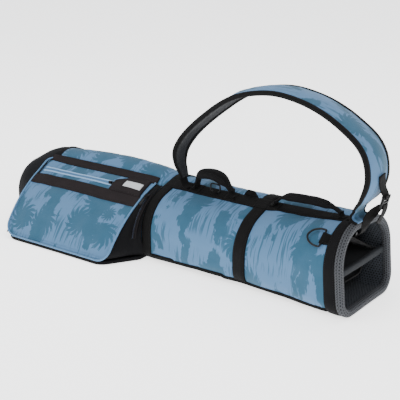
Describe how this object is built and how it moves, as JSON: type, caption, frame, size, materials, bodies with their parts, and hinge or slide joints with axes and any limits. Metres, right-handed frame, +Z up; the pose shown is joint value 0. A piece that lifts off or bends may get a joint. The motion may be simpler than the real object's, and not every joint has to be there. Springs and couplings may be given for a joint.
{
  "type": "golf carry bag",
  "caption": "Slim soft golf bag lying on its side, with a zipped side pocket, padded shoulder strap, carrying handles and a divided, padded mouth.",
  "frame": {"origin": "on the ground, under the bag's axis at mid-length", "axes": "+X along the bag towards its open mouth, +Z up, -Y towards the zipped pocket"},
  "size_m": [0.9121, 0.2873, 0.397],
  "materials": {
    "print_fabric": "woven polyester with an all-over blue brush-stroke print",
    "strap_fabric": "the same printed fabric over foam",
    "black_fabric": "plain black woven polyester",
    "cup_fabric": "dark grey coated fabric, moulded",
    "webbing": "ribbed polypropylene webbing",
    "lip_mesh": "grey spacer mesh over foam",
    "lining_mesh": "dark grey mesh",
    "divider_fabric": "grey lining fabric",
    "divider_pad": "grey brushed padding",
    "piping": "dark blue corded piping",
    "label": "plain woven label",
    "zip_tape": "blue woven zip tape with nylon coils",
    "zip_metal": "satin black",
    "zip_pull": "matt black moulded pull",
    "black_plastic": "matt black acetal",
    "board": "plain black plastic",
    "handle_pad": "black ribbed fabric over foam"
  },
  "bodies": {
    "bag": {"front_panel": "print_fabric", "back_panel": "print_fabric", "pocket_face": "print_fabric", "pocket_top_panel": "print_fabric", "bottom_panel": "black_fabric", "pocket_bottom": "black_fabric", "base_strip": "black_fabric", "top_trim": "black_fabric", "lower_trim": "black_fabric", "zip_garage": "black_fabric", "spine_patch": "black_fabric", "gusset_mouth": "black_fabric", "gusset_base": "black_fabric", "rim_band": "black_fabric", "seam_binding_front": "black_fabric", "seam_binding_back": "black_fabric", "base_cup": "cup_fabric", "spine_webbing": "webbing", "mid_band": "webbing", "pocket_band": "webbing", "tether_tail": "webbing", "tag_loop": "webbing", "keeper_tab": "webbing", "d_ring_tab": "webbing", "lift_anchors": "webbing", "grab_anchors": "webbing", "strap_anchor_base": "webbing", "strap_anchor_mouth": "webbing", "mouth_lip": "lip_mesh", "mouth_lining": "lining_mesh", "main_divider": "divider_fabric", "upper_divider": "divider_fabric", "lower_divider": "divider_fabric", "divider_bar": "divider_pad", "pocket_piping": "piping", "pocket_label": "label", "valuables_zip": "zip_tape", "apparel_zip": "zip_tape", "base_board": "board", "mouth_hoop": "board", "spine_stay": "board"},
    "shoulder_strap": {"strap_pad": "strap_fabric", "strap_tab": "webbing", "strap_tether": "webbing"},
    "ladder_lock_body": {"ladder_lock": "black_plastic"},
    "lift_handle_body": {"lift_handle": "handle_pad"},
    "grab_handle_body": {"grab_handle": "handle_pad"},
    "keeper_ring_body": {"keeper_ring": "black_plastic"},
    "d_ring_body": {"d_ring": "black_plastic"},
    "valuables_slider_body": {"valuables_slider": "zip_metal"},
    "valuables_pull_body": {"valuables_pull": "zip_pull"},
    "apparel_slider_body": {"apparel_slider": "zip_metal"},
    "apparel_pull_body": {"apparel_pull": "zip_pull"}
  },
  "joints": [
    {"name": "strap_swing", "type": "hinge", "parent": "bag", "child": "shoulder_strap", "pos_m": [0.008, -0.008, 0.16046], "axis": [0.9992, 0, 0.0411], "range_deg": [-45, 45]},
    {"name": "lock_swing", "type": "hinge", "parent": "shoulder_strap", "child": "ladder_lock_body", "pos_m": [0.464, 0.005, 0.22], "axis": [-0.0203, 0.9949, -0.0984], "range_deg": [-35, 0]},
    {"name": "lift_handle_fold", "type": "hinge", "parent": "bag", "child": "lift_handle_body", "pos_m": [0.036, -0.004, 0.16456], "axis": [1, 0, 0.0087], "range_deg": [-60, 60]},
    {"name": "grab_handle_fold", "type": "hinge", "parent": "bag", "child": "grab_handle_body", "pos_m": [0.234, -0.004, 0.16616], "axis": [0.9983, 0, 0.0591], "range_deg": [-60, 60]},
    {"name": "keeper_ring_swing", "type": "hinge", "parent": "bag", "child": "keeper_ring_body", "pos_m": [0.084, -0.004, 0.15527], "axis": [1, 0, 0], "range_deg": [-60, 60]},
    {"name": "d_ring_swing", "type": "hinge", "parent": "bag", "child": "d_ring_body", "pos_m": [0.381, -0.07137, 0.14415], "axis": [0, -0.7431, -0.6691], "range_deg": [-110, 0]},
    {"name": "valuables_zip_run", "type": "slide", "parent": "bag", "child": "valuables_slider_body", "axis": [-0.999, -0.0454, 0], "range_m": [0, 0.19]},
    {"name": "valuables_pull_swing", "type": "hinge", "parent": "valuables_slider_body", "child": "valuables_pull_body", "pos_m": [-0.16762, -0.05472, 0.13874], "axis": [0.0405, -0.8918, -0.4506], "range_deg": [0, 150]},
    {"name": "apparel_zip_run", "type": "hinge", "parent": "bag", "child": "apparel_slider_body", "pos_m": [-0.05568, -0.00014, 0.03033], "axis": [0.9991, 0.0416, -0.0027], "range_deg": [0, 39]},
    {"name": "apparel_pull_swing", "type": "hinge", "parent": "apparel_slider_body", "child": "apparel_pull_body", "pos_m": [-0.05384, -0.06625, 0.1337], "axis": [-0.9715, 0.099, -0.2153], "range_deg": [0, 150]}
  ]
}
